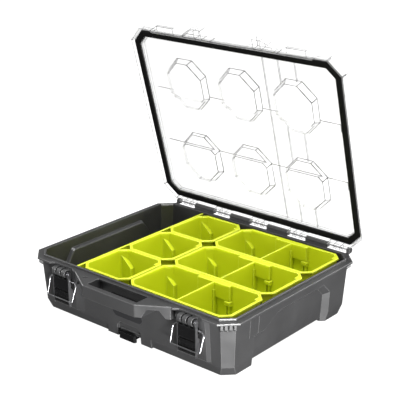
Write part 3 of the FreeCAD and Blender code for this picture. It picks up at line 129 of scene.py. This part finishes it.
lamp("top_lamp", (0.5, -0.4, 2.7), (0, 0, 0), 1.4, 1.4, 105)
lamp("side_lamp", (2.4, 0.2, 2.0), (0, 0, 0.05), 0.9, 0.9, 16)
lamp("corner_lamp", (1.66, -1.18, 0.1), (0.24, -0.15, 0.06), 0.5, 0.19, 140)
lamp("rear_lamp", (0.7, 2.5, 0.8), (0, 0, 0.1), 0.9, 0.9, 45)
lamp("left_lamp", (-2.5, -0.3, 0.8), (0, 0, 0.1), 0.9, 0.9, 40)


# The case is one grey moulding of filled polypropylene with a fine spark-eroded grain. Its edges
# are slightly rounded in the shading, a paler colour is painted on them as a highlight, and its
# crevices are painted darker as shade.
def plastic(name, colour, highlight_colour, rough, grain=0.25, edge=0.0012, mottle=0.08, shine=0.5, hollow=0.15):
    """A moulded plastic with fine grain, faint mottling, a painted highlight along its outer edges and painted
    shade in its crevices.

    hollow is the share of the colour that is left in a crevice, where shade is painted. A crevice is rougher as
    well.
    """
    highlight_strength = 0.7
    grain_size = 0.0009
    grain_height = 0.0002
    crevice_reach = 0.007
    cloud_scale = 22
    rough_spread = 0.05
    crevice_rough = 0.6
    paint = bpy.data.materials.new(name)
    paint.use_nodes = True
    tree = paint.node_tree
    add = tree.nodes.new
    skin = tree.nodes["Principled BSDF"]
    skin.inputs["Specular IOR Level"].default_value = shine
    place = add("ShaderNodeTexCoord")
    rounded = add("ShaderNodeBevel")
    rounded.samples = 4
    rounded.inputs["Radius"].default_value = edge
    facing = add("ShaderNodeNewGeometry")
    turn = add("ShaderNodeVectorMath")
    turn.operation = "DOT_PRODUCT"
    link(tree, rounded.outputs["Normal"], turn.inputs[0])
    link(tree, facing.outputs["Normal"], turn.inputs[1])
    # Painted highlight: along convex edges, where the rounded normal turns away from the face, a paler colour is
    # mixed into the base colour.
    highlight_mask = add("ShaderNodeMapRange")
    highlight_mask.inputs["From Min"].default_value = 0.998
    highlight_mask.inputs["From Max"].default_value = 0.95
    highlight_mask.inputs["To Min"].default_value = 0.0
    highlight_mask.inputs["To Max"].default_value = highlight_strength
    link(tree, turn.outputs["Value"], highlight_mask.inputs["Value"])
    # Painted shade: ambient occlusion darkens the colour in crevices, recesses and inner corners down to the
    # share hollow, and keeps the painted highlight off concave edges.
    crevice = add("ShaderNodeAmbientOcclusion")
    crevice.samples = 6
    crevice.only_local = True
    crevice.inputs["Distance"].default_value = crevice_reach
    outward = add("ShaderNodeMapRange")
    outward.inputs["From Min"].default_value = 0.7
    outward.inputs["From Max"].default_value = 0.95
    link(tree, crevice.outputs["AO"], outward.inputs["Value"])
    convex_highlight = add("ShaderNodeMath")
    convex_highlight.operation = "MULTIPLY"
    link(tree, highlight_mask.outputs["Result"], convex_highlight.inputs[0])
    link(tree, outward.outputs["Result"], convex_highlight.inputs[1])
    depth = add("ShaderNodeMapRange")
    depth.inputs["From Min"].default_value = 0.35
    depth.inputs["From Max"].default_value = 0.85
    depth.inputs["To Min"].default_value = hollow
    link(tree, crevice.outputs["AO"], depth.inputs["Value"])
    cloud = add("ShaderNodeTexNoise")
    cloud.inputs["Scale"].default_value = cloud_scale
    cloud.inputs["Detail"].default_value = 5
    link(tree, place.outputs["Object"], cloud.inputs["Vector"])
    shade = add("ShaderNodeMapRange")
    shade.inputs["From Min"].default_value = 0.3
    shade.inputs["From Max"].default_value = 0.7
    shade.inputs["To Min"].default_value = 1 - mottle
    shade.inputs["To Max"].default_value = 1 + mottle
    link(tree, cloud.outputs["Fac"], shade.inputs["Value"])
    # The random tone is multiplied here by the painted shade of the crevices.
    tone_and_shade = add("ShaderNodeMath")
    tone_and_shade.operation = "MULTIPLY"
    link(tree, shade.outputs["Result"], tone_and_shade.inputs[0])
    link(tree, depth.outputs["Result"], tone_and_shade.inputs[1])
    tint = add("ShaderNodeVectorMath")
    tint.operation = "SCALE"
    tint.inputs[0].default_value = colour
    link(tree, tone_and_shade.outputs[0], tint.inputs["Scale"])
    # The paler colour of the painted highlight is mixed in here.
    highlighted = add("ShaderNodeMix")
    highlighted.data_type = "RGBA"
    highlighted.inputs["B"].default_value = (highlight_colour[0], highlight_colour[1], highlight_colour[2], 1)
    link(tree, convex_highlight.outputs[0], highlighted.inputs["Factor"])
    link(tree, tint.outputs["Vector"], highlighted.inputs["A"])
    link(tree, highlighted.outputs["Result"], skin.inputs["Base Color"])
    grit = add("ShaderNodeTexNoise")
    grit.inputs["Scale"].default_value = 1 / grain_size
    grit.inputs["Detail"].default_value = 3
    link(tree, place.outputs["Object"], grit.inputs["Vector"])
    bump = add("ShaderNodeBump")
    bump.inputs["Strength"].default_value = grain
    bump.inputs["Distance"].default_value = grain_height
    link(tree, grit.outputs["Fac"], bump.inputs["Height"])
    link(tree, rounded.outputs["Normal"], bump.inputs["Normal"])
    link(tree, bump.outputs["Normal"], skin.inputs["Normal"])
    gloss = add("ShaderNodeMapRange")
    gloss.inputs["From Min"].default_value = 0.3
    gloss.inputs["From Max"].default_value = 0.7
    gloss.inputs["To Min"].default_value = rough - rough_spread
    gloss.inputs["To Max"].default_value = rough + rough_spread
    link(tree, cloud.outputs["Fac"], gloss.inputs["Value"])
    dusty = add("ShaderNodeMapRange")
    dusty.inputs["From Min"].default_value = 0.3
    dusty.inputs["From Max"].default_value = 0.6
    dusty.inputs["To Min"].default_value = crevice_rough * (1 - hollow)
    dusty.inputs["To Max"].default_value = 0.0
    link(tree, crevice.outputs["AO"], dusty.inputs["Value"])
    matt = add("ShaderNodeMath")
    matt.operation = "ADD"
    link(tree, gloss.outputs["Result"], matt.inputs[0])
    link(tree, dusty.outputs["Result"], matt.inputs[1])
    link(tree, matt.outputs[0], skin.inputs["Roughness"])
    return paint


def finish_node(name, paint):
    """Give a CAD piece its material on every slot."""
    piece = nodes[name]
    if not piece.data.materials:
        piece.data.materials.append(paint)
    for slot in piece.material_slots:
        slot.material = paint


# A paler grey is painted on the case's edges as a highlight, and its slots and crevices are painted fully black
# as shade.
case_grey = plastic("case_grey", (0.022, 0.022, 0.0225), (0.13, 0.13, 0.131), 0.38, shine=1.0,
                    hollow=0.0)
finish_node("case_base", case_grey)
finish_node("stack_latch_cover", case_grey)

# The name plate is a smooth dark inlay without any lettering.
# A paler grey is painted on the plate's edges as a highlight, and its crevices are painted darker as shade.
plate_dark = plastic("plate_dark", (0.012, 0.012, 0.013), (0.04, 0.04, 0.04), 0.35, grain=0.1)
finish_node("name_plate", plate_dark)

# The lid is moulded in clear polycarbonate. Its walls let what is behind them show straight
# through, and its broken edges, which bend the light in the real lid, are drawn as dark strips.
def closed_copy(node, name):
    """A new piece with the shape of a CAD piece, its skin closed and its flat faces whole."""
    piece = bpy.data.objects.new(name, nodes[node].data.copy())
    bpy.context.scene.collection.objects.link(piece)
    bpy.ops.object.select_all(action="DESELECT")
    bpy.context.view_layer.objects.active = piece
    piece.select_set(True)
    piece.data.materials.clear()
    bpy.ops.object.mode_set(mode="EDIT")
    bpy.ops.mesh.select_all(action="SELECT")
    bpy.ops.mesh.remove_doubles(threshold=0.00001)
    bpy.ops.mesh.dissolve_limited(angle_limit=math.radians(0.5))
    bpy.ops.object.mode_set(mode="OBJECT")
    return piece


def break_edges(piece, width, sharp, steps, material):
    """Round off the edges of a piece that are sharper than an angle."""
    edge = piece.modifiers.new("edges", "BEVEL")
    edge.width = width
    edge.segments = steps
    edge.limit_method = "ANGLE"
    edge.angle_limit = math.radians(sharp)
    edge.use_clamp_overlap = False
    edge.material = material
    bpy.ops.object.modifier_apply(modifier="edges")


def clear_plastic(name, tint, low, high, rough, patchy):
    """A clear plastic that is more solid where it is seen edge-on.

    low and high are how solid it is face-on and edge-on, and patchy is how much of that comes and goes.
    """
    ripple_scale = 14
    ripple_rough = 0.08
    streak_scale = 60
    edge_on_dark = 0.35
    paint = bpy.data.materials.new(name)
    paint.use_nodes = True
    tree = paint.node_tree
    add = tree.nodes.new
    skin = tree.nodes["Principled BSDF"]
    skin.inputs["Specular IOR Level"].default_value = 0.15
    place = add("ShaderNodeTexCoord")
    ripple = add("ShaderNodeTexNoise")
    ripple.inputs["Scale"].default_value = ripple_scale
    ripple.inputs["Detail"].default_value = 3
    link(tree, place.outputs["Object"], ripple.inputs["Vector"])
    gloss = add("ShaderNodeMapRange")
    gloss.inputs["To Min"].default_value = rough
    gloss.inputs["To Max"].default_value = rough + ripple_rough
    link(tree, ripple.outputs["Fac"], gloss.inputs["Value"])
    link(tree, gloss.outputs["Result"], skin.inputs["Roughness"])
    edge_on = add("ShaderNodeLayerWeight")
    edge_on.inputs["Blend"].default_value = 0.3
    thick = add("ShaderNodeMapRange")
    thick.inputs["To Min"].default_value = low
    thick.inputs["To Max"].default_value = high
    link(tree, edge_on.outputs["Facing"], thick.inputs["Value"])
    streak = add("ShaderNodeTexNoise")
    streak.inputs["Scale"].default_value = streak_scale
    streak.inputs["Detail"].default_value = 1
    link(tree, place.outputs["Object"], streak.inputs["Vector"])
    broken = add("ShaderNodeMapRange")
    broken.inputs["From Min"].default_value = 0.4
    broken.inputs["From Max"].default_value = 0.6
    broken.inputs["To Min"].default_value = 1 - patchy
    broken.inputs["To Max"].default_value = 1.0
    link(tree, streak.outputs["Fac"], broken.inputs["Value"])
    solid = add("ShaderNodeMath")
    solid.operation = "MULTIPLY"
    link(tree, thick.outputs["Result"], solid.inputs[0])
    link(tree, broken.outputs["Result"], solid.inputs[1])
    link(tree, solid.outputs[0], skin.inputs["Alpha"])
    depth = add("ShaderNodeMix")
    depth.data_type = "RGBA"
    depth.inputs["A"].default_value = tint
    depth.inputs["B"].default_value = (tint[0] * edge_on_dark, tint[1] * edge_on_dark,
                                       tint[2] * edge_on_dark, 1)
    link(tree, edge_on.outputs["Facing"], depth.inputs["Factor"])
    link(tree, depth.outputs["Result"], skin.inputs["Base Color"])
    return paint


lid_clear = clear_plastic("lid_clear", (0.7, 0.7, 0.7, 1), 0.03, 0.4, 0.35, 0)
lid_edge = clear_plastic("lid_edge", (0.012, 0.012, 0.0125, 1), 0.97, 1.0, 0.12, 0.3)
lid = closed_copy("lid_shell", "clear_lid")
lid.data.materials.append(lid_clear)
lid.data.materials.append(lid_edge)
for face in lid.data.polygons:
    face.material_index = 0
# Wider strips fill the lid's inner corners so far that they touch the case when the lid is closed.
lid_strip = 0.00066
break_edges(lid, lid_strip, 20, 1, 1)
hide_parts("lid_shell")
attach(lid, "lid")

# The seal is a black rubber profile with a dull skin.
# A faint highlight is painted on the seal's edges, and its crevices are painted darker as shade.
seal_black = plastic("seal_black", (0.002, 0.002, 0.002), (0.003, 0.003, 0.003), 0.55, grain=0.15,
                     shine=0.05)
seal = closed_copy("lid_gasket", "rubber_seal")
seal.data.materials.append(seal_black)
for face in seal.data.polygons:
    face.material_index = 0
seal_round = 0.0006
break_edges(seal, seal_round, 30, 3, 0)
bpy.ops.object.shade_smooth_by_angle(angle=math.radians(35))
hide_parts("lid_gasket")
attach(seal, "lid")


# Pins, brackets and bails are zinc-plated steel, drawn or pressed, with a faint mottle in colour and roughness.
def steel(name, colour, rough):
    """Plated steel with a faint mottle in colour and roughness."""
    paint = bpy.data.materials.new(name)
    paint.use_nodes = True
    tree = paint.node_tree
    add = tree.nodes.new
    skin = tree.nodes["Principled BSDF"]
    skin.inputs["Metallic"].default_value = 1.0
    place = add("ShaderNodeTexCoord")
    cloud = add("ShaderNodeTexNoise")
    cloud.inputs["Scale"].default_value = 180
    cloud.inputs["Detail"].default_value = 4
    link(tree, place.outputs["Object"], cloud.inputs["Vector"])
    shade = add("ShaderNodeMapRange")
    shade.inputs["To Min"].default_value = 0.8
    shade.inputs["To Max"].default_value = 1.15
    link(tree, cloud.outputs["Fac"], shade.inputs["Value"])
    tint = add("ShaderNodeVectorMath")
    tint.operation = "SCALE"
    tint.inputs[0].default_value = colour
    link(tree, shade.outputs["Result"], tint.inputs["Scale"])
    link(tree, tint.outputs["Vector"], skin.inputs["Base Color"])
    gloss = add("ShaderNodeMapRange")
    gloss.inputs["To Min"].default_value = rough - 0.06
    gloss.inputs["To Max"].default_value = rough + 0.08
    link(tree, cloud.outputs["Fac"], gloss.inputs["Value"])
    link(tree, gloss.outputs["Result"], skin.inputs["Roughness"])
    return paint


zinc = steel("zinc", (0.36, 0.36, 0.37), 0.34)
finish_node("hinge_pins", zinc)

# The two screws of the cover plate are zinc-plated cross-head screws. Their heads are rounded at the
# rim and have a cross recess, which faces down.
screws = closed_copy("cover_screws", "cross_head_screws")
screws.data.materials.append(zinc)
for face in screws.data.polygons:
    face.material_index = 0
head_round = 0.0003
break_edges(screws, head_round, 40, 2, 0)
low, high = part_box("cover_screws")
head_radius = (high[1] - low[1]) / 2
slot_long, slot_wide, slot_deep = 0.0032, 0.0008, 0.0022
for middle in (low[0] + head_radius, high[0] - head_radius):
    for along_x, along_y in ((slot_long, slot_wide), (slot_wide, slot_long)):
        bpy.ops.object.select_all(action="DESELECT")
        bpy.ops.mesh.primitive_cube_add(size=1, location=(middle, (low[1] + high[1]) / 2, low[2]),
                                        scale=(along_x, along_y, slot_deep))
        driver_tip = bpy.context.object
        bpy.ops.object.transform_apply(location=True, rotation=True, scale=True)
        bpy.ops.object.select_all(action="DESELECT")
        screws.select_set(True)
        bpy.context.view_layer.objects.active = screws
        cut = screws.modifiers.new("cross", "BOOLEAN")
        cut.operation = "DIFFERENCE"
        cut.object = driver_tip
        bpy.ops.object.modifier_apply(modifier="cross")
        bpy.data.objects.remove(driver_tip)
bpy.ops.object.shade_smooth_by_angle(angle=math.radians(30))
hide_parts("cover_screws")
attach(screws, "case")

# The spring behind the stack latch is wound from steel wire, with six turns between the tongue of
# the latch and its stop. The real spring is squeezed as the latch is pushed in; here it is one fixed coil on the
# case.
low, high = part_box("stack_latch_spring")
wire = 0.0004
turns = 6
coil_radius = (high[0] - low[0]) / 2 - wire
coil_middle = ((low[0] + high[0]) / 2, (low[2] + high[2]) / 2)
bpy.ops.object.select_all(action="DESELECT")
bpy.ops.mesh.primitive_circle_add(vertices=10, radius=wire, fill_type="NOTHING",
                                  location=(coil_radius, 0, 0), rotation=(math.pi / 2, 0, 0))
coil = bpy.context.object
coil.name = "coil_spring"
bpy.ops.object.transform_apply(location=True, rotation=True, scale=True)
winding = coil.modifiers.new("winding", "SCREW")
winding.axis = "Z"
winding.iterations = turns
winding.screw_offset = (high[1] - low[1] - 2.2 * wire) / turns
winding.steps = 24
winding.render_steps = 24
winding.use_merge_vertices = True
winding.merge_threshold = 0.000001
bpy.ops.object.modifier_apply(modifier="winding")
bpy.ops.object.mode_set(mode="EDIT")
bpy.ops.mesh.select_all(action="SELECT")
bpy.ops.mesh.fill_holes(sides=12)
bpy.ops.mesh.normals_make_consistent(inside=False)
bpy.ops.object.mode_set(mode="OBJECT")
coil.rotation_euler = (-math.pi / 2, 0, 0)
coil.location = (coil_middle[0], low[1] + 1.1 * wire, coil_middle[1])
bpy.ops.object.transform_apply(location=True, rotation=True, scale=True)
bpy.ops.object.shade_smooth_by_angle(angle=math.radians(50))
coil.data.materials.append(zinc)
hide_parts("stack_latch_spring")
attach(coil, "case")
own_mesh(coil)

# The latches: black plastic levers, each with a steel bracket, a pin and a sprung wire bail.
# A dark grey is painted on the levers' edges as a highlight, and their crevices are painted darker as shade.
latch_black = plastic("latch_black", (0.003, 0.003, 0.0032), (0.03, 0.03, 0.031), 0.25, grain=0.12,
                      edge=0.0008, shine=0.2)
for side in ("left", "right"):
    finish_node(side + "_latch_lever", latch_black)
    finish_node(side + "_latch_bracket", zinc)
    finish_node(side + "_latch_pin", zinc)
    finish_node(side + "_latch_bail", zinc)

# The stack latch is the same black plastic.
finish_node("stack_latch", latch_black)

# The tray, the bins and the dividers are yellow-green polypropylene with a satin skin.
# Pale yellow is painted on the rims and edges as a highlight, and crevices are painted a quarter darker as
# shade.
bin_green = plastic("bin_green", (0.46, 0.52, 0.008), (0.82, 0.9, 0.17), 0.38, grain=0.1, mottle=0.02, shine=0.4,
                    hollow=0.75)
for row in ("front", "middle", "back"):
    finish_node("small_bin_" + row, bin_green)
    finish_node("double_bin_" + row, bin_green)
    finish_node("divider_" + row, bin_green)
finish_node("bin_tray", bin_green)
